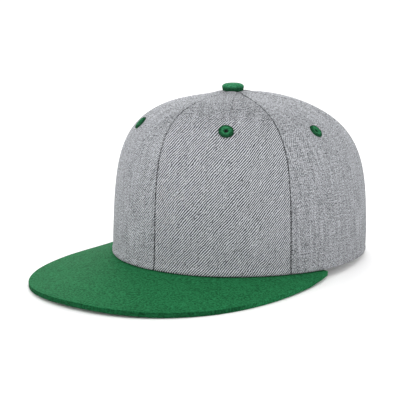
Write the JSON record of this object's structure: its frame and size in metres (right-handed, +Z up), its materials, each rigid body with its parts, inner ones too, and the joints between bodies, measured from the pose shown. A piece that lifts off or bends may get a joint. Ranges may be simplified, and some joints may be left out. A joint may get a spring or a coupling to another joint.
{
  "type": "snapback cap",
  "caption": "Snapback cap with a tall heather grey twill crown in sewn panels, a flat green brim, green button and eyelets, and plastic snap straps across the back opening",
  "frame": {"origin": "on the table that the cap rests on, under the middle of its bounding box", "axes": "+Z up from the table, -Y from the crown to the brim's tip, +X to the wearer's left"},
  "size_m": [0.1812, 0.2812, 0.1261],
  "materials": {
    "heather_twill": "heather grey wool-blend twill",
    "green_twill": "green wool-blend twill",
    "green_thread": "green embroidery thread",
    "grey_tape": "grey cotton twill tape",
    "green_plastic": "moulded green plastic"
  },
  "bodies": {
    "root": {"panel_front_left": "heather_twill", "panel_front_right": "heather_twill", "panel_side_left": "heather_twill", "panel_side_right": "heather_twill", "panel_back_left": "heather_twill", "panel_back_right": "heather_twill", "eyelet_front_left": "green_thread", "eyelet_front_right": "green_thread", "eyelet_side_left": "green_thread", "eyelet_side_right": "green_thread", "eyelet_back_left": "green_thread", "eyelet_back_right": "green_thread", "top_button": "green_twill", "brim": "green_twill", "sweatband": "grey_tape", "snap_strap_pegs": "green_plastic", "snap_strap_holes": "green_plastic"}
  },
  "joints": []
}
